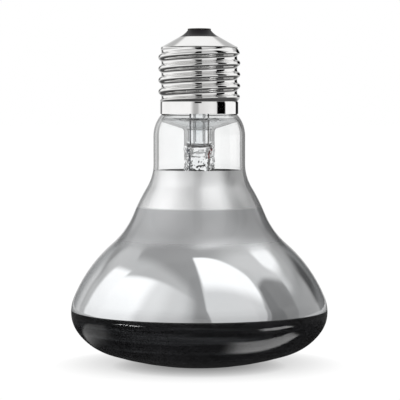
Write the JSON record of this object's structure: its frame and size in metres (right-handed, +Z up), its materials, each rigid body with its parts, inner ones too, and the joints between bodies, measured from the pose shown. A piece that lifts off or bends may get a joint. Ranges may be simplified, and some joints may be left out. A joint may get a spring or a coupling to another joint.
{
  "type": "basking spot lamp",
  "caption": "Reflector heat bulb with a mirrored bowl, a dark domed face, a clear neck and a screw cap, standing on its face with the cap upwards.",
  "frame": {"origin": "on the bulb's axis at the lowest point of the domed face, which the lamp stands on", "axes": "+Z up along the bulb's axis from the face to the cap; the picture's camera looks along +Y"},
  "size_m": [0.082, 0.082, 0.1078],
  "materials": {
    "clear_glass": "clear blown glass",
    "mirror_coating": "bright vacuum-coated mirror",
    "smoked_coating": "glossy near-black smoked coating",
    "cap_metal": "polished nickel plate",
    "black_glass": "glossy black cap glass",
    "contact_metal": "dull tinned brass",
    "solder": "dull solder",
    "cement": "matt basing cement",
    "stem_glass": "clear drawn glass, lumpy where it was pinched",
    "lead_wire": "bright nickel wire",
    "filament_wire": "dull grey wire"
  },
  "bodies": {
    "root": {"glass_bulb": "clear_glass", "mirror_coating": "mirror_coating", "smoked_coating": "smoked_coating", "cap_shell": "cap_metal", "cap_insulator": "black_glass", "centre_contact": "contact_metal", "centre_solder": "solder", "side_solder": "solder", "cap_cement": "cement", "glass_stem": "stem_glass", "exhaust_tube": "stem_glass", "contact_lead": "lead_wire", "shell_lead": "lead_wire", "filament": "filament_wire", "filament_support": "filament_wire"}
  },
  "joints": []
}
